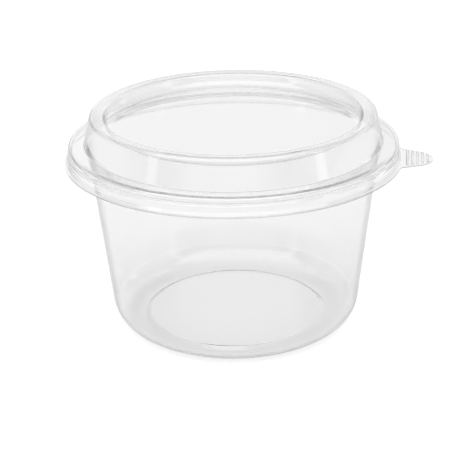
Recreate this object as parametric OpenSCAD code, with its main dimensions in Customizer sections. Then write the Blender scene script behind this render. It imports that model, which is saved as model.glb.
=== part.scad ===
// Clear thermoformed dessert cup with a press-on stacking lid, in millimetres.
// The cup stands on the table at z = 0 with its axis on Z, and the lid's pull tab points along +X.
// Each piece is one drawn sheet: a path gives one face of the sheet and its offset gives the other.

/* [Cup] */
// Height of the cup from the table to the flat top of its rim
cup_h = 66.6; // [40:0.1:100]
// Inside diameter of the mouth, where the wall's line meets the rim's top
mouth_d = 101; // [80:0.5:130]
// Lean of the wall from upright, in degrees
wall_lean = 6.4; // [2:0.1:10]
// Thickness of the cup's sheet
cup_wall = 0.5; // [0.3:0.05:0.8]
// Outside radius of the round heel between the wall and the foot
heel_r = 9.4; // [4:0.1:14]

/* [Foot] */
// Width of the flat ring that the cup stands on
foot_ring_w = 2.1; // [1:0.1:6]
// Width of the slope from the foot ring up to the raised floor
foot_slope_w = 2; // [1.5:0.1:6]
// Height of the raised floor above the table
floor_rise = 1.2; // [0.6:0.1:2]
// Inside radius of the bends beside the foot ring
foot_bend_r = 0.4; // [0.1:0.1:1]

/* [Rim] */
// Width of the rim, from the mouth to its outer edge
rim_w = 6; // [4.5:0.1:9]
// Height of the rim's turned-down edge
rim_drop = 1.7; // [1.5:0.1:3]
// Inside radius of the bend from the wall into the rim
mouth_bend_r = 1.2; // [0.2:0.1:1.5]
// Inside radius of the bend into the turned-down edge
rim_bend_r = 0.5; // [0.1:0.1:0.6]

/* [Lid] */
// Thickness of the lid's sheet
lid_wall = 0.4; // [0.25:0.05:0.6]
// Distance from the mouth out to the foot of the lid's raised ring
ring_setback = 1.4; // [0.5:0.1:2]
// Height of the raised ring above the flange
ring_rise = 10.3; // [7:0.1:14]
// Lean of the ring's outer wall from upright, in degrees
ring_lean = 13.1; // [3:0.1:20]
// Width of the ring's top between its two upper edges
ring_w = 4.8; // [3.5:0.1:8]
// Fall of the ring's top from its outer edge to its inner edge
ring_fall = 0.5; // [0:0.1:0.8]
// Inside radius of the bend at the ring's outer upper edge
ring_outer_bend_r = 1.2; // [0.3:0.1:1.5]
// Inside radius of the bend at the ring's inner upper edge
ring_inner_bend_r = 0.6; // [0.3:0.1:1]
// Radius of the bend where the ring meets the flange
ring_foot_r = 0.8; // [0.2:0.1:1]
// Depth of the middle panel below the ring's top
panel_depth = 5; // [3:0.1:6]
// Lean of the wall between the ring's top and the panel, in degrees
panel_lean = 8; // [2:0.5:20]
// Radius of the bend around the middle panel
panel_bend_r = 1.1; // [0.3:0.1:1.4]

/* [Skirt] */
// Gap between the rim and the skirt around it
skirt_gap = 0.55; // [0.5:0.05:1]
// Inside radius of the lid's shoulder
shoulder_r = 0.7; // [0.3:0.1:0.9]
// Gap between the rim's outer edge and the snap bead as it passes
bead_gap = 0.2; // [0.1:0.05:0.3]
// Distance from the rim's lower edge down to the middle of the snap bead
bead_low = 0.5; // [0.4:0.1:1]
// Height of the snap bead
bead_w = 1.2; // [1:0.1:1.4]
// Inside radius of the bends that form the snap bead
bead_bend_r = 0.15; // [0.05:0.05:0.2]
// Distance from the middle of the bead down to the fold of the brim
skirt_low = 2.3; // [1.5:0.1:4]

/* [Brim] */
// Width of the lid's brim, from the skirt to its outer edge
brim_w = 1.55; // [1.4:0.05:4]
// Fall of the brim from its fold to its flat edge
brim_fall = 1; // [0.4:0.1:1.2]
// Width of the brim's flat edge
brim_edge_w = 0.8; // [0.6:0.1:0.9]
// Inside radius of the brim's two bends
brim_bend_r = 0.3; // [0.1:0.05:0.4]

/* [Pull tab] */
// Reach of the tab beyond the brim
tab_reach = 10.1; // [8:0.1:14]
// Radius of the tab's round end
tab_tip_r = 7.5; // [5:0.1:8]
// Width of the tab where it leaves the brim
tab_root_w = 18.4; // [17:0.1:24]
// Radius of the flare between the tab and the brim
tab_flare_r = 2; // [1:0.1:4]
// Number of grip ribs across the tab
rib_count = 5; // [2:1:6]
// Distance from one rib to the next
rib_pitch = 1.7; // [1.4:0.05:2]
// Distance from the brim's edge to the first rib
rib_start = 1.4; // [1:0.1:2]
// Width of a rib at its foot
rib_w = 1; // [0.8:0.1:1.2]
// Height of a rib
rib_h = 0.3; // [0.15:0.05:0.5]

/* [Hidden] */
$fn = 96;
// Turn of one straight step along a bend, in degrees
bend_step = 9;
// Share of a rib's width that its flat top takes
rib_crown = 0.4;
// Length of the tab's root that lies in the brim
tab_overlap = 0.4;

mouth_r = mouth_d / 2;
wall_top_r = mouth_r + cup_wall / cos(wall_lean);
wall_foot_r = wall_top_r - cup_h * tan(wall_lean);
foot_ring_r = wall_foot_r - heel_r * tan(45 - wall_lean / 2) - foot_ring_w;
rim_under_z = cup_h - cup_wall;
rim_low_z = cup_h - rim_drop;
rim_r = mouth_r + rim_w;

flange_z = cup_h + lid_wall;
ring_z = flange_z + ring_rise;
panel_z = ring_z - panel_depth;
ring_foot = mouth_r + ring_setback;
ring_outer_r = ring_foot - ring_rise * tan(ring_lean);
ring_inner_r = ring_outer_r - ring_w;
panel_r = ring_inner_r - panel_depth * tan(panel_lean);
skirt_r = rim_r + skirt_gap + lid_wall;
bead_r = rim_r + bead_gap + lid_wall;
bead_z = rim_low_z - bead_low;
fold_z = bead_z - skirt_low;
brim_r = skirt_r + brim_w;
brim_z = fold_z - brim_fall;
tab_tip_x = brim_r + tab_reach - tab_tip_r;

// Direction from a to b, the left normal of a direction, and the turn at a corner
function unit(a, b) = (b - a) / norm(b - a);
function left_of(d) = [-d[1], d[0]];
function turn(d, e) = sign(d[0] * e[1] - d[1] * e[0]);
function spot(p) = [p[0], p[1]];

// Points of an arc about c, from angle a to angle b by the shorter way
function arc(c, r, a, b) =
    let (
        sweep = b - a - 360 * round((b - a) / 360),
        steps = max(2, ceil(abs(sweep) / bend_step))
    )
    [for (i = [0 : steps]) c + r * [cos(a + sweep * i / steps), sin(a + sweep * i / steps)]];

// Moves a path [x, z, bend radius] sideways by d, to the left of its run, with each bend kept parallel
function beside(path, d) =
    let (last = len(path) - 1)
    [for (i = [0 : last])
        let (
            p = spot(path[i]),
            before = i == 0 ? unit(p, spot(path[1])) : unit(spot(path[i - 1]), p),
            after = i == last ? before : unit(p, spot(path[i + 1])),
            m = left_of(before),
            n = left_of(after),
            q = p + d * (m + n) / (1 + m * n)
        )
        [q[0], q[1], path[i][2] - d * turn(before, after)]
    ];

// Rounds the inner corners of a path with its bend radii
function bent(path) =
    let (last = len(path) - 1)
    concat(
        [spot(path[0])],
        [for (i = [1 : last - 1])
            let (
                p = spot(path[i]),
                u = unit(p, spot(path[i - 1])),
                v = unit(p, spot(path[i + 1])),
                half = acos(u * v) / 2,
                r = path[i][2],
                c = p + (u + v) / norm(u + v) * r / sin(half),
                s = p + u * r / tan(half) - c,
                e = p + v * r / tan(half) - c
            )
            each arc(c, r, atan2(s[1], s[0]), atan2(e[1], e[0]))
        ],
        [spot(path[last])]
    );

// Outline of a sheet with one face on the path and the other face beside it
function sheet(path, d) =
    let (face = bent(path), back = bent(beside(path, d)))
    concat(face, [for (i = [len(back) - 1 : -1 : 0]) back[i]]);

// Underside of the cup, from the middle of the floor out to the rim's turned-down edge
cup_path = [
    [0, floor_rise, 0],
    [foot_ring_r - foot_slope_w, floor_rise, foot_bend_r],
    [foot_ring_r, 0, foot_bend_r + cup_wall],
    [wall_foot_r, 0, heel_r],
    [wall_top_r - cup_wall * tan(wall_lean), rim_under_z, mouth_bend_r],
    [rim_r - cup_wall, rim_under_z, rim_bend_r],
    [rim_r - cup_wall, rim_low_z, 0]
];

// Top face of the lid, from the middle of the panel out to the brim's edge
lid_path = [
    [0, panel_z, 0],
    [panel_r, panel_z, panel_bend_r],
    [ring_inner_r, ring_z - ring_fall, ring_inner_bend_r + lid_wall],
    [ring_outer_r, ring_z, ring_outer_bend_r + lid_wall],
    [ring_foot, flange_z, ring_foot_r],
    [skirt_r, flange_z, shoulder_r + lid_wall],
    [skirt_r, bead_z + bead_w / 2, bead_bend_r + lid_wall],
    [bead_r, bead_z, bead_bend_r],
    [skirt_r, bead_z - bead_w / 2, bead_bend_r + lid_wall],
    [skirt_r, fold_z, brim_bend_r],
    [brim_r - brim_edge_w, brim_z, brim_bend_r],
    [brim_r, brim_z, 0]
];

// Outline of the tab from above: a round end, straight sides that lean out, and a flare into the brim
function tab_outline() =
    let (
        root = [brim_r, tab_root_w / 2],
        tip = [tab_tip_x, 0],
        bearing = atan2(root[1] - tip[1], root[0] - tip[0]),
        touch = bearing - acos(tab_tip_r / norm(root - tip)),
        out = [cos(touch), sin(touch)],
        along = unit(tip + tab_tip_r * out, root),
        beside_root = root + tab_flare_r * out,
        b = beside_root * along,
        span = sqrt(b * b - beside_root * beside_root + pow(brim_r + tab_flare_r, 2)),
        flare_at = beside_root - (b + span) * along,
        flare_end = atan2(-flare_at[1], -flare_at[0]),
        upper = concat(
            arc(tip, tab_tip_r, 0, touch),
            arc(flare_at, tab_flare_r, touch + 180, flare_end)
        )
    )
    concat(
        upper,
        [[brim_r - tab_overlap, 0]],
        [for (i = [len(upper) - 1 : -1 : 1]) [upper[i][0], -upper[i][1]]]
    );

// Top face of the ribbed tab along X, a row of raised bars pressed into the sheet
function tab_section() =
    concat(
        [[brim_r - brim_edge_w, brim_z]],
        [for (i = [0 : rib_count - 1])
            let (x = brim_r + rib_start + i * rib_pitch, crown = rib_w * rib_crown / 2)
            each [
                [x - rib_w / 2, brim_z],
                [x - crown, brim_z + rib_h],
                [x + crown, brim_z + rib_h],
                [x + rib_w / 2, brim_z]
            ]
        ],
        [[brim_r + tab_reach + rib_start + rib_count * rib_pitch, brim_z]]
    );

module tab() {
    top = tab_section();
    under = [for (i = [len(top) - 1 : -1 : 0]) top[i] - [0, lid_wall]];
    intersection() {
        translate([0, 0, brim_z - 2 * lid_wall])
            linear_extrude(4 * lid_wall)
                polygon(tab_outline());
        translate([0, tab_root_w, 0])
            rotate([90, 0, 0])
                linear_extrude(2 * tab_root_w)
                    polygon(concat(top, under));
    }
}

module cup() {
    color([0.90, 0.92, 0.93, 0.45])
        rotate_extrude()
            polygon(sheet(cup_path, cup_wall));
}

module lid() {
    color([0.86, 0.90, 0.92, 0.45])
        union() {
            rotate_extrude()
                polygon(sheet(lid_path, -lid_wall));
            tab();
        }
}

cup();
lid();
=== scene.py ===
import math

import bmesh
import bpy
from mathutils import Matrix, Vector, noise


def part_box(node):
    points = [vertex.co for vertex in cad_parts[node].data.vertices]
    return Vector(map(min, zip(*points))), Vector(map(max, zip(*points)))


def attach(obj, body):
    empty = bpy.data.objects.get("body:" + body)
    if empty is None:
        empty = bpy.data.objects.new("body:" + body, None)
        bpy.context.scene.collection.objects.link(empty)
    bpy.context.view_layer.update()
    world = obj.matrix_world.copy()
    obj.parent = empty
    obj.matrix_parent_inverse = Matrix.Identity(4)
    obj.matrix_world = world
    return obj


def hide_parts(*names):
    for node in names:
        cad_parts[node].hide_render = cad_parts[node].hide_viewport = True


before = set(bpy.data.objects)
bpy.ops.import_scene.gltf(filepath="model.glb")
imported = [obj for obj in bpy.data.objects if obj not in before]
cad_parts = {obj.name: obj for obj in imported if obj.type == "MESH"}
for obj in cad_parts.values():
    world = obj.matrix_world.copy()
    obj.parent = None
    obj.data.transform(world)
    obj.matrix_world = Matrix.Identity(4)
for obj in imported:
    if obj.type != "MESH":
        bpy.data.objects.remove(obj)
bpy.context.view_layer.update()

# The cup. One sheet of clear PET, heated and drawn down into a cold round mould,
# so its floor, heel, wall and flat rim are a single skin about half a millimetre thick.
# It is trimmed in a die round the rim's short turned-down edge.
cup_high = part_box("cup")[1]
MM = 0.001
CUP_SHEET = 0.45 * MM
SOLID_SHEET = 0.5 * MM  # the solid's sheet, which sets where the outside lies
WALL_LEAN = math.radians(6.4)
HEEL_R = 9.4 * MM
FOOT_RING = 2.1 * MM
FOOT_SLOPE = 2.0 * MM
FOOT_BEND = 0.7 * MM
FLOOR_RISE = 1.2 * MM
MOUTH_BEND = 0.9 * MM
RIM_WIDTH = 6.0 * MM
RIM_BEND = 0.7 * MM
RIM_DROP = 1.7 * MM
STIFF_END = 8 * MM  # how far the heel and the rim keep the wall true
CUP_STRAY = 0.12 * MM
WAVES_AROUND = 1.6
WAVES_UP = 18
SMALL_WAVES = 2.7
SMALL_WAVE_SHARE = 0.4
CREASE = math.radians(50)
BEND_STEP = math.radians(7.5)
BEND_MARGIN = 0.12 * MM  # a short face beside each bend keeps the straight run flat in shade
LONGEST_RUN = 4 * MM
CUP_AROUND = 384
ON_AXIS = 1e-6


def turn_left(d):
    return Vector((-d.y, d.x))


def corner_turn(d, e):
    return math.copysign(1.0, d.x * e.y - d.y * e.x)


def beside(path, distance):
    """The path [(radius, height, bend radius)] moved sideways, with its bends kept parallel."""
    moved = []
    for i, (x, z, bend) in enumerate(path):
        p = Vector((x, z))
        ahead = Vector(path[i + 1][:2]) - p if i + 1 < len(path) else p - Vector(path[i - 1][:2])
        behind = p - Vector(path[i - 1][:2]) if i else ahead
        ahead, behind = ahead.normalized(), behind.normalized()
        m, n = turn_left(behind), turn_left(ahead)
        q = p + (m + n) * (distance / (1 + m.dot(n)))
        moved.append((q.x, q.y, bend - distance * corner_turn(behind, ahead) if bend else 0.0))
    return moved


def rounded(path):
    """Points along the path: an arc at each bend, and short steps along each straight run."""
    stops = [[Vector(path[0][:2])]]
    for i in range(1, len(path) - 1):
        p = Vector(path[i][:2])
        bend = path[i][2]
        if not bend:
            stops.append([p])
            continue
        u = (Vector(path[i - 1][:2]) - p).normalized()
        v = (Vector(path[i + 1][:2]) - p).normalized()
        half = u.angle(v) / 2
        centre = p + (u + v).normalized() * (bend / math.sin(half))
        start = p + u * (bend / math.tan(half)) - centre
        end = p + v * (bend / math.tan(half)) - centre
        first = math.atan2(start.y, start.x)
        sweep = math.remainder(math.atan2(end.y, end.x) - first, 2 * math.pi)
        steps = max(2, math.ceil(abs(sweep) / BEND_STEP))
        angles = [first + sweep * k / steps for k in range(steps + 1)]
        stops.append([centre + bend * Vector((math.cos(a), math.sin(a))) for a in angles])
    stops.append([Vector(path[-1][:2])])
    points = list(stops[0])
    for arc in stops[1:]:
        a, b = points[-1], arc[0]
        run = (b - a).length
        if run > 4 * BEND_MARGIN:
            inner = run - 2 * BEND_MARGIN
            parts = max(1, math.ceil(inner / LONGEST_RUN))
            along = (b - a) / run
            points += [a + along * (BEND_MARGIN + inner * k / parts) for k in range(parts + 1)]
        points += arc
    return points


def waver(angle, z):
    """How far a drawn sheet strays from round at a place, as a share of its draw."""
    place = Vector((WAVES_AROUND * math.cos(angle), WAVES_AROUND * math.sin(angle), WAVES_UP * z))
    return noise.noise(place) + SMALL_WAVE_SHARE * noise.noise(place * SMALL_WAVES)


def spun_rings(bm, points, angles, stray):
    """Rings of vertices, one for each point of the outline, or a single vertex on the axis."""
    rings = []
    for r, z in points:
        if r < ON_AXIS:
            rings.append([bm.verts.new((0, 0, z))])
        else:
            rings.append([])
            for a in angles:
                s = r + stray(r, z) * waver(a, z)
                rings[-1].append(bm.verts.new((s * math.cos(a), s * math.sin(a), z)))
    return rings


def skin(bm, rings, cut, skip=lambda i, k: False):
    """Faces between neighbouring rings. The band with the number cut is the trimmed edge."""
    for i in range(len(rings) - 1):
        low, high = rings[i], rings[i + 1]
        count = max(len(low), len(high))
        for k in range(count):
            if skip(i, k):
                continue
            n = (k + 1) % count
            if len(low) == 1:
                corners = (low[0], high[n], high[k])
            elif len(high) == 1:
                corners = (low[k], low[n], high[0])
            else:
                corners = (low[k], low[n], high[n], high[k])
            bm.faces.new(corners).material_index = int(i == cut)


def smooth_piece(bm, name):
    """The finished mesh as an object: smooth all over, with its trimmed edges kept crisp."""
    bm.normal_update()
    for face in bm.faces:
        face.smooth = True
    for edge in bm.edges:
        edge.smooth = len(edge.link_faces) == 2 and edge.calc_face_angle(0.0) < CREASE
    mesh = bpy.data.meshes.new(name)
    bm.to_mesh(mesh)
    bm.free()
    piece = bpy.data.objects.new(name, mesh)
    bpy.context.scene.collection.objects.link(piece)
    return piece


cup_height = cup_high.z
rim_r = cup_high.x
mouth_r = rim_r - RIM_WIDTH
wall_top = mouth_r + SOLID_SHEET / math.cos(WALL_LEAN)
wall_foot = wall_top - cup_height * math.tan(WALL_LEAN)
ring_r = wall_foot - HEEL_R * math.tan(math.pi / 4 - WALL_LEAN / 2) - FOOT_RING
cup_under = [
    (0, FLOOR_RISE, 0),
    (ring_r - FOOT_SLOPE, FLOOR_RISE, FOOT_BEND),
    (ring_r, 0, FOOT_BEND + CUP_SHEET),
    (wall_foot, 0, HEEL_R),
    (wall_top - SOLID_SHEET * math.tan(WALL_LEAN), cup_height - SOLID_SHEET, MOUTH_BEND),
    (rim_r - CUP_SHEET, cup_height - SOLID_SHEET, RIM_BEND),
    (rim_r - CUP_SHEET, cup_height - RIM_DROP, 0),
]
cup_outside = rounded(cup_under)
cup_outline = cup_outside + rounded(beside(cup_under, CUP_SHEET))[::-1]
around = [2 * math.pi * k / CUP_AROUND for k in range(CUP_AROUND)]


def cup_stray(r, z):
    """The wall strays a little between the stiff heel and the stiff rim."""
    share = max(0.0, min(1.0, (z - STIFF_END) / (cup_height - 2 * STIFF_END)))
    return CUP_STRAY * math.sin(math.pi * share) ** 2


bm = bmesh.new()
skin(bm, spun_rings(bm, cup_outline, around, cup_stray), len(cup_outside) - 1)
bmesh.ops.recalc_face_normals(bm, faces=bm.faces)
cup = smooth_piece(bm, "cup_sheet")

PET_IOR = 1.57


def clear_sheet(name, seed):
    """Clear moulded PET: a slow ripple left by the mould, a fine grain, faint rub marks, and
    painted shade where the sheet is seen edge-on.
    """
    material = bpy.data.materials.new(name)
    material.use_nodes = True
    nt = material.node_tree
    nt.nodes.clear()
    add = nt.nodes.new
    link = nt.links.new
    out = add("ShaderNodeOutputMaterial")
    body = add("ShaderNodeBsdfPrincipled")
    body.inputs["IOR"].default_value = PET_IOR
    body.inputs["Transmission Weight"].default_value = 1.0
    place = add("ShaderNodeTexCoord")
    shift = add("ShaderNodeMapping")
    shift.inputs["Location"].default_value = (seed, seed * 0.7, 0)
    link(place.outputs["Object"], shift.inputs["Vector"])

    ripple = add("ShaderNodeTexNoise")
    ripple.inputs["Scale"].default_value = 55
    ripple.inputs["Detail"].default_value = 1.5
    grain = add("ShaderNodeTexNoise")
    grain.inputs["Scale"].default_value = 900
    grain.inputs["Detail"].default_value = 2
    rub = add("ShaderNodeTexNoise")
    rub.inputs["Scale"].default_value = 140
    rub.inputs["Detail"].default_value = 4
    rub.inputs["Distortion"].default_value = 1.2
    for texture in (ripple, grain, rub):
        link(shift.outputs["Vector"], texture.inputs["Vector"])
    dull = add("ShaderNodeMapRange")
    dull.inputs["From Min"].default_value = 0.35
    dull.inputs["From Max"].default_value = 0.75
    dull.inputs["To Min"].default_value = 0.01
    dull.inputs["To Max"].default_value = 0.045
    link(rub.outputs["Fac"], dull.inputs["Value"])
    link(dull.outputs["Result"], body.inputs["Roughness"])
    slow = add("ShaderNodeBump")
    slow.inputs["Strength"].default_value = 0.08
    slow.inputs["Distance"].default_value = 0.0006
    link(ripple.outputs["Fac"], slow.inputs["Height"])
    fine = add("ShaderNodeBump")
    fine.inputs["Strength"].default_value = 0.02
    fine.inputs["Distance"].default_value = 0.0001
    link(grain.outputs["Fac"], fine.inputs["Height"])
    link(slow.outputs["Normal"], fine.inputs["Normal"])
    link(fine.outputs["Normal"], body.inputs["Normal"])

    # Where the sheet is seen edge-on its colour is painted greyer, as painted shade for the dark
    # outlines of its walls and bends. Seen edge-on, it also lets less of the lamps' light by.
    rays = add("ShaderNodeLightPath")
    lit = add("ShaderNodeBsdfTransparent")
    glance = add("ShaderNodeLayerWeight")
    glance.inputs["Blend"].default_value = 0.5
    # Painted shade: the base colour turns grey as the sheet is seen more nearly edge-on.
    painted_edge_shade = add("ShaderNodeMapRange")
    painted_edge_shade.inputs["From Min"].default_value = 0.72
    painted_edge_shade.inputs["From Max"].default_value = 0.95
    painted_edge_shade.inputs["To Min"].default_value = 1.0
    painted_edge_shade.inputs["To Max"].default_value = 0.3
    link(glance.outputs["Facing"], painted_edge_shade.inputs["Value"])
    link(painted_edge_shade.outputs["Result"], body.inputs["Base Color"])
    let_by = add("ShaderNodeMapRange")
    let_by.inputs["From Min"].default_value = 0.5
    let_by.inputs["From Max"].default_value = 1.0
    let_by.inputs["To Min"].default_value = 0.985
    let_by.inputs["To Max"].default_value = 0.15
    link(glance.outputs["Facing"], let_by.inputs["Value"])
    link(let_by.outputs["Result"], lit.inputs["Color"])
    either = add("ShaderNodeMath")
    either.operation = "MAXIMUM"
    link(rays.outputs["Is Shadow Ray"], either.inputs[0])
    link(rays.outputs["Is Diffuse Ray"], either.inputs[1])
    choose = add("ShaderNodeMixShader")
    link(either.outputs[0], choose.inputs["Fac"])
    link(body.outputs["BSDF"], choose.inputs[1])
    link(lit.outputs["BSDF"], choose.inputs[2])
    link(choose.outputs["Shader"], out.inputs["Surface"])
    depth = add("ShaderNodeVolumeAbsorption")
    depth.inputs["Color"].default_value = (0.5, 0.5, 0.5, 1)
    depth.inputs["Density"].default_value = 80
    link(depth.outputs["Volume"], out.inputs["Volume"])
    return material


def sheared_edge(name):
    """The trimmed edge, left whitish and rough by the die."""
    material = bpy.data.materials.new(name)
    material.use_nodes = True
    nt = material.node_tree
    body = nt.nodes["Principled BSDF"]
    body.inputs["Base Color"].default_value = (0.85, 0.85, 0.85, 1)
    body.inputs["IOR"].default_value = PET_IOR
    body.inputs["Transmission Weight"].default_value = 0.35
    torn = nt.nodes.new("ShaderNodeTexNoise")
    torn.inputs["Scale"].default_value = 2500
    torn.inputs["Detail"].default_value = 2
    rough = nt.nodes.new("ShaderNodeMapRange")
    rough.inputs["To Min"].default_value = 0.4
    rough.inputs["To Max"].default_value = 0.7
    nt.links.new(torn.outputs["Fac"], rough.inputs["Value"])
    nt.links.new(rough.outputs["Result"], body.inputs["Roughness"])
    return material


cup.data.materials.append(clear_sheet("clear_cup_sheet", seed=0.0))
cup.data.materials.append(sheared_edge("cup_sheared_edge"))
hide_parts("cup")
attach(cup, "cup")

# The lid. One thinner sheet of the same clear PET, pressed into a raised stacking ring round
# a sunken panel. Its flange lies on the cup's rim, its skirt clicks over the rim with a low
# bead, and the trimmed brim runs out at one side into a ribbed pull tab.
lid_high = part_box("lid")[1]
LID_SHEET = 0.4 * MM
PANEL_DEPTH = 5.0 * MM
PANEL_LEAN = math.radians(8)
PANEL_BEND = 3.0 * MM
RING_SETBACK = 1.4 * MM
RING_RISE = 10.3 * MM
RING_LEAN = math.radians(13.1)
RING_WIDTH = 4.8 * MM
RING_FALL = 0.5 * MM
RING_INNER_BEND = 0.8 * MM
RING_OUTER_BEND = 1.2 * MM
RING_FOOT_BEND = 0.35 * MM
SHOULDER_BEND = 0.9 * MM
SKIRT_GAP = 0.55 * MM
SKIRT_LOW = 2.3 * MM
BEAD_GAP = 0.2 * MM
BEAD_LOW = 0.5 * MM
BEAD_WIDTH = 1.2 * MM
BEAD_BEND = 0.15 * MM
BRIM_FALL = 1.0 * MM
BRIM_EDGE = 0.8 * MM
BRIM_BEND = 0.3 * MM
LID_STRAY = 0.07 * MM
TAB_TIP_R = 7.5 * MM
TAB_ROOT = 18.4 * MM
TAB_FLARE = 2.0 * MM
RIB_COUNT = 5
RIB_PITCH = 1.7 * MM
RIB_START = 1.4 * MM
RIB_WIDTH = 1.0 * MM
RIB_REACH = 0.65 * RIB_WIDTH  # half of a rib, and a little flat beside it
RIB_HEIGHT = 0.3 * MM
RIB_INSET = 0.5 * MM
RIB_FADE = 0.7 * MM
TAB_COLUMNS = 28
FLARE_ROWS = 8
RIB_ROWS = 64
TIP_ROWS = 8
LID_REST = 330

flange_z = cup_height + LID_SHEET
ring_z = flange_z + RING_RISE
panel_z = ring_z - PANEL_DEPTH
ring_foot = mouth_r + RING_SETBACK
ring_outer = ring_foot - RING_RISE * math.tan(RING_LEAN)
ring_inner = ring_outer - RING_WIDTH
panel_r = ring_inner - PANEL_DEPTH * math.tan(PANEL_LEAN)
skirt_r = rim_r + SKIRT_GAP + LID_SHEET
bead_r = rim_r + BEAD_GAP + LID_SHEET
bead_z = cup_height - RIM_DROP - BEAD_LOW
fold_z = bead_z - SKIRT_LOW
brim_r = lid_high.y
brim_z = fold_z - BRIM_FALL
lid_top = [
    (0, panel_z, 0),
    (panel_r, panel_z, PANEL_BEND),
    (ring_inner, ring_z - RING_FALL, RING_INNER_BEND + LID_SHEET),
    (ring_outer, ring_z, RING_OUTER_BEND + LID_SHEET),
    (ring_foot, flange_z, RING_FOOT_BEND),
    (skirt_r, flange_z, SHOULDER_BEND + LID_SHEET),
    (skirt_r, bead_z + BEAD_WIDTH / 2, BEAD_BEND + LID_SHEET),
    (bead_r, bead_z, BEAD_BEND),
    (skirt_r, bead_z - BEAD_WIDTH / 2, BEAD_BEND + LID_SHEET),
    (skirt_r, fold_z, BRIM_BEND),
    (brim_r - BRIM_EDGE, brim_z, BRIM_BEND),
    (brim_r, brim_z, 0),
]
top_face = rounded(lid_top)
under_face = rounded(beside(lid_top, -LID_SHEET))[::-1]

# Where the tab's straight side leaves its round end, and where its flare meets the brim.
tip_x = lid_high.x - TAB_TIP_R
root = Vector((brim_r, TAB_ROOT / 2))
tip = Vector((tip_x, 0))
bearing = math.atan2(root.y, root.x - tip.x)
touch = bearing - math.acos(TAB_TIP_R / (root - tip).length)
outward = Vector((math.cos(touch), math.sin(touch)))
along_side = (root - tip - TAB_TIP_R * outward).normalized()
off_root = root + TAB_FLARE * outward
reach = off_root.dot(along_side)
span = math.sqrt(reach * reach - off_root.dot(off_root) + (brim_r + TAB_FLARE) ** 2)
flare_at = off_root - (reach + span) * along_side
flare_angle = math.atan2(flare_at.y, flare_at.x)


def tab_half_width(x):
    """Half the tab's width at a distance from the axis."""
    side_end = tip + TAB_TIP_R * outward
    flare_start = flare_at - TAB_FLARE * outward
    if x >= side_end.x:
        return math.sqrt(max(0.0, TAB_TIP_R ** 2 - (x - tip.x) ** 2))
    if x >= flare_start.x:
        return side_end.y + (x - side_end.x) / along_side.x * along_side.y
    return flare_at.y - math.sqrt(max(0.0, TAB_FLARE ** 2 - (x - flare_at.x) ** 2))


def rib_lift(x, y):
    """Height of the pressed ribs, which die out before the tab's edge."""
    inset = max(0.0, min(1.0, (tab_half_width(x) - abs(y) - RIB_INSET) / RIB_FADE))
    for i in range(RIB_COUNT):
        off = abs(x - (brim_r + RIB_START + i * RIB_PITCH)) / (RIB_WIDTH / 2)
        if off < 1:
            crown = (1 + math.cos(math.pi * off)) / 2
            return RIB_HEIGHT * inset * inset * (3 - 2 * inset) * crown
    return 0.0


tab_angles = [flare_angle * (2 * k / TAB_COLUMNS - 1) for k in range(TAB_COLUMNS + 1)]
rest_angles = [
    flare_angle + (2 * math.pi - 2 * flare_angle) * k / LID_REST for k in range(1, LID_REST)
]
lid_angles = tab_angles + rest_angles


def lid_stray(r, z):
    """The ring's wall strays most halfway up, the panel half as much, and the flange not at all."""
    if z <= flange_z:
        return 0.0
    share = min(1.0, (z - flange_z) / RING_RISE)
    most = LID_STRAY if r > ring_inner else LID_STRAY / 2
    return most * math.sin(math.pi * share) ** 2


bm = bmesh.new()
top_rings = spun_rings(bm, top_face, lid_angles, lid_stray)
under_rings = spun_rings(bm, under_face, lid_angles, lid_stray)
edge_band = len(top_rings) - 1
skin(bm, top_rings + under_rings, edge_band, skip=lambda i, k: i == edge_band and k < TAB_COLUMNS)

# The tab's two faces are rows of vertices that start from the brim's own edge.
half_root = brim_r * math.sin(flare_angle)
shares = [brim_r * math.sin(a) / half_root for a in tab_angles]
end_x = brim_r * math.cos(flare_angle)
first_rib = brim_r + RIB_START - RIB_REACH
last_rib = brim_r + RIB_START + (RIB_COUNT - 1) * RIB_PITCH + RIB_REACH
tab_end = tip_x + TAB_TIP_R
rows = []
for j in range(1, FLARE_ROWS + 1):
    t = j / FLARE_ROWS
    side = end_x + (first_rib - end_x) * t
    middle = brim_r + (first_rib - brim_r) * t
    rows.append([(middle + (side - middle) * s * s, s * tab_half_width(side)) for s in shares])
for j in range(1, RIB_ROWS + 1):
    x = first_rib + (last_rib - first_rib) * j / RIB_ROWS
    rows.append([(x, s * tab_half_width(x)) for s in shares])
for j in range(1, TIP_ROWS):
    x = last_rib + (tab_end - last_rib) * math.sin(math.pi / 2 * j / TIP_ROWS)
    rows.append([(x, s * tab_half_width(x)) for s in shares])
upper = [[top_rings[-1][k] for k in range(TAB_COLUMNS + 1)]]
lower = [[under_rings[0][k] for k in range(TAB_COLUMNS + 1)]]
for row in rows:
    upper.append([bm.verts.new((x, y, brim_z + rib_lift(x, y))) for x, y in row])
    lower.append([bm.verts.new((x, y, brim_z - LID_SHEET + rib_lift(x, y))) for x, y in row])
for j in range(len(rows)):
    for k in range(TAB_COLUMNS):
        bm.faces.new((upper[j][k], upper[j][k + 1], upper[j + 1][k + 1], upper[j + 1][k]))
        bm.faces.new((lower[j][k + 1], lower[j][k], lower[j + 1][k], lower[j + 1][k + 1]))
    for k in (0, TAB_COLUMNS):
        rim = (upper[j][k], upper[j + 1][k], lower[j + 1][k], lower[j][k])
        bm.faces.new(rim if k == 0 else rim[::-1]).material_index = 1
top_tip = bm.verts.new((tab_end, 0, brim_z))
low_tip = bm.verts.new((tab_end, 0, brim_z - LID_SHEET))
for k in range(TAB_COLUMNS):
    bm.faces.new((upper[-1][k], upper[-1][k + 1], top_tip))
    bm.faces.new((lower[-1][k + 1], lower[-1][k], low_tip))
bm.faces.new((upper[-1][0], top_tip, low_tip, lower[-1][0])).material_index = 1
bm.faces.new((top_tip, upper[-1][-1], lower[-1][-1], low_tip)).material_index = 1
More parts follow.
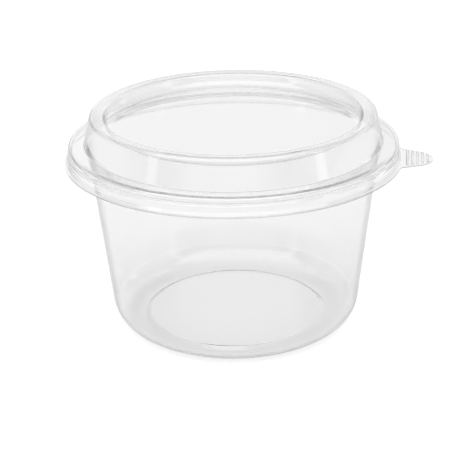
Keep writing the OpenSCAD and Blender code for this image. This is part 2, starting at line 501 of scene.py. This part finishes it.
bmesh.ops.recalc_face_normals(bm, faces=bm.faces)
lid = smooth_piece(bm, "lid_sheet")

lid.data.materials.append(clear_sheet("clear_lid_sheet", seed=3.1))
lid.data.materials.append(sheared_edge("lid_sheared_edge"))
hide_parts("lid")
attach(lid, "lid")

# The table. A smooth white painted board under the cup, which takes the cup's shadow.
# It also glows a little, to look pure white, and glows less where it is seen in or
# through the clear sheets, which gives them their pale grey.
BOARD_SIZE = 6
FLOOR_GAP = 0.05 * MM
GLOW_SEEN = 0.5
GLOW_THROUGH = 0.26
bpy.ops.mesh.primitive_plane_add(size=BOARD_SIZE, location=(0, 0, -FLOOR_GAP))
table = bpy.context.object
table.name = "table"
board = bpy.data.materials.new("white_board")
board.use_nodes = True
nt = board.node_tree
paint = nt.nodes["Principled BSDF"]
paint.inputs["Base Color"].default_value = (0.9, 0.9, 0.9, 1)
paint.inputs["Roughness"].default_value = 0.5
paint.inputs["Specular IOR Level"].default_value = 0.3
glow = nt.nodes.new("ShaderNodeEmission")
rays = nt.nodes.new("ShaderNodeLightPath")
both = nt.nodes.new("ShaderNodeAddShader")
bent = nt.nodes.new("ShaderNodeMath")
bent.operation = "MAXIMUM"
nt.links.new(rays.outputs["Is Glossy Ray"], bent.inputs[0])
nt.links.new(rays.outputs["Is Transmission Ray"], bent.inputs[1])
direct = nt.nodes.new("ShaderNodeMath")
direct.operation = "MULTIPLY"
direct.inputs[1].default_value = GLOW_SEEN
nt.links.new(rays.outputs["Is Camera Ray"], direct.inputs[0])
total = nt.nodes.new("ShaderNodeMath")
total.operation = "MULTIPLY_ADD"
total.inputs[1].default_value = GLOW_THROUGH
nt.links.new(bent.outputs[0], total.inputs[0])
nt.links.new(direct.outputs[0], total.inputs[2])
nt.links.new(total.outputs[0], glow.inputs["Strength"])
nt.links.new(paint.outputs["BSDF"], both.inputs[0])
nt.links.new(glow.outputs["Emission"], both.inputs[1])
nt.links.new(both.outputs["Shader"], nt.nodes["Material Output"].inputs["Surface"])
table.data.materials.append(board)

# The room. White low down and at the back, as a studio sweep is, dimmer overhead and behind
# the camera, and darkest on two upright grey screens beside the cup, which draw the grey
# outlines of the clear sheets.
world = bpy.data.worlds.new("room")
bpy.context.scene.world = world
world.use_nodes = True
nt = world.node_tree
sky = nt.nodes["Background"]
sky.inputs["Color"].default_value = (1, 1, 1, 1)
way = nt.nodes.new("ShaderNodeTexCoord")
split = nt.nodes.new("ShaderNodeSeparateXYZ")
nt.links.new(way.outputs["Generated"], split.inputs[0])


def towards(bearing, height):
    """Cosine of the angle to the direction with this bearing and this height, in degrees."""
    nearness = nt.nodes.new("ShaderNodeVectorMath")
    nearness.operation = "DOT_PRODUCT"
    b, h = math.radians(bearing), math.radians(height)
    level = math.cos(h)
    nearness.inputs[1].default_value = (math.cos(b) * level, math.sin(b) * level, math.sin(h))
    nt.links.new(way.outputs["Generated"], nearness.inputs[0])
    return nearness.outputs["Value"]


def fade(share, start, end, from_value, to_value):
    """A smooth change of the room's light between two values of the share."""
    ramp = nt.nodes.new("ShaderNodeMapRange")
    ramp.interpolation_type = "SMOOTHSTEP"
    ramp.inputs["From Min"].default_value = start
    ramp.inputs["From Max"].default_value = end
    ramp.inputs["To Min"].default_value = from_value
    ramp.inputs["To Max"].default_value = to_value
    nt.links.new(share, ramp.inputs["Value"])
    return ramp.outputs["Result"]


def sine(degrees):
    return math.sin(math.radians(degrees))


def cosine(degrees):
    return math.cos(math.radians(degrees))


def joined(operation, a, b):
    """Two parts of the room's light, multiplied or added."""
    node = nt.nodes.new("ShaderNodeMath")
    node.operation = operation
    nt.links.new(a, node.inputs[0])
    nt.links.new(b, node.inputs[1])
    return node.outputs[0]


def patch(bearing, height, edge, core, strength):
    """A soft bright patch, as a curtained window gives. Its edge and core are half widths."""
    return fade(towards(bearing, height), cosine(edge), cosine(core), 0.0, strength)


WALL_LIGHT = 0.88  # above the sweep's bright foot
CEILING_LIGHT = 0.5
FRONT_LIGHT = 0.7
SCREEN_LIGHT = 0.2
PAST_SCREENS = 3.5  # times the screens' light, out beyond them
light = fade(split.outputs["Z"], sine(12), sine(22), 1.0, WALL_LIGHT)
for factor in (
    fade(towards(90, 74), sine(38), sine(56), 1.0, CEILING_LIGHT),
    fade(split.outputs["Y"], 0.3, 0.8, FRONT_LIGHT, 1.0),
    fade(split.outputs["X"], 0.35, 0.75, 1.0, SCREEN_LIGHT),
    fade(split.outputs["X"], -0.75, -0.35, SCREEN_LIGHT, 1.0),
    fade(split.outputs["X"], 0.8, 0.95, 1.0, PAST_SCREENS),
    fade(split.outputs["X"], -0.95, -0.8, PAST_SCREENS, 1.0),
):
    light = joined("MULTIPLY", light, factor)
for spot in (
    patch(bearing=116, height=22, edge=16, core=8, strength=0.12),
    patch(bearing=34, height=8, edge=7, core=3, strength=1.4),
):
    light = joined("ADD", light, spot)
nt.links.new(light, sky.inputs["Strength"])

# The lamps. A broad soft box above the camera lights the table and the cup, and a narrow
# upright one at each side draws pale streaks down the clear sheets.
SIDE_LAMP_FAR = 0.5
SIDE_LAMP_UP = 0.25


def soft_box(name, place, aim, width, height, power):
    """A lamp behind a white cloth, turned towards the point aim."""
    cloth = bpy.data.lights.new(name, "AREA")
    cloth.shape = "RECTANGLE"
    cloth.size = width
    cloth.size_y = height
    cloth.energy = power
    lamp = bpy.data.objects.new(name, cloth)
    bpy.context.scene.collection.objects.link(lamp)
    place, aim = Vector(place), Vector(aim)
    turned = (aim - place).to_track_quat("-Z", "Y").to_matrix().to_4x4()
    lamp.matrix_world = Matrix.Translation(place) @ turned
    return lamp


soft_box("lamp_front", (0, -0.8, 1.35), (0, 0, 0), width=3.2, height=1.8, power=22)
for side, bearing in (("left", 217.5), ("right", -18)):
    b = math.radians(bearing)
    place = (SIDE_LAMP_FAR * math.cos(b), SIDE_LAMP_FAR * math.sin(b), SIDE_LAMP_UP)
    lamp = soft_box(
        "lamp_" + side, place, (0, 0, SIDE_LAMP_UP), width=0.07, height=0.5, power=0.095
    )
    lamp.visible_camera = False

# The camera. It stands in front and above, turned a little round the cup so that the tab
# points to the right and slightly away, as in the photograph.
FRAME_WIDTH = 470
FOCAL_LENGTH = 1295.3  # both in the frame's pixels
STAND_BACK, STAND_UP = 0.42746, 0.2150
ROUND_CUP, LOOK_DOWN, TILT = 7.4, 23.42, -0.94  # degrees
view = bpy.data.cameras.new("camera")
view.sensor_width = 36
view.lens = view.sensor_width * FOCAL_LENGTH / FRAME_WIDTH
view.clip_start = 0.01
view.clip_end = 50
camera = bpy.data.objects.new("camera", view)
bpy.context.scene.collection.objects.link(camera)
camera.matrix_world = (
    Matrix.Rotation(math.radians(ROUND_CUP), 4, "Z")
    @ Matrix.Translation((0, -STAND_BACK, STAND_UP))
    @ Matrix.Rotation(math.radians(90 - LOOK_DOWN), 4, "X")
    @ Matrix.Rotation(math.radians(TILT), 4, "Z")
)
bpy.context.scene.camera = camera

# Many clear faces lie one behind another, so light is followed through many of them.
SHEET_BOUNCES = 48
scene = bpy.context.scene
scene.view_settings.view_transform = "Standard"
scene.cycles.max_bounces = SHEET_BOUNCES
scene.cycles.transmission_bounces = SHEET_BOUNCES
scene.cycles.glossy_bounces = SHEET_BOUNCES
scene.cycles.transparent_max_bounces = 32
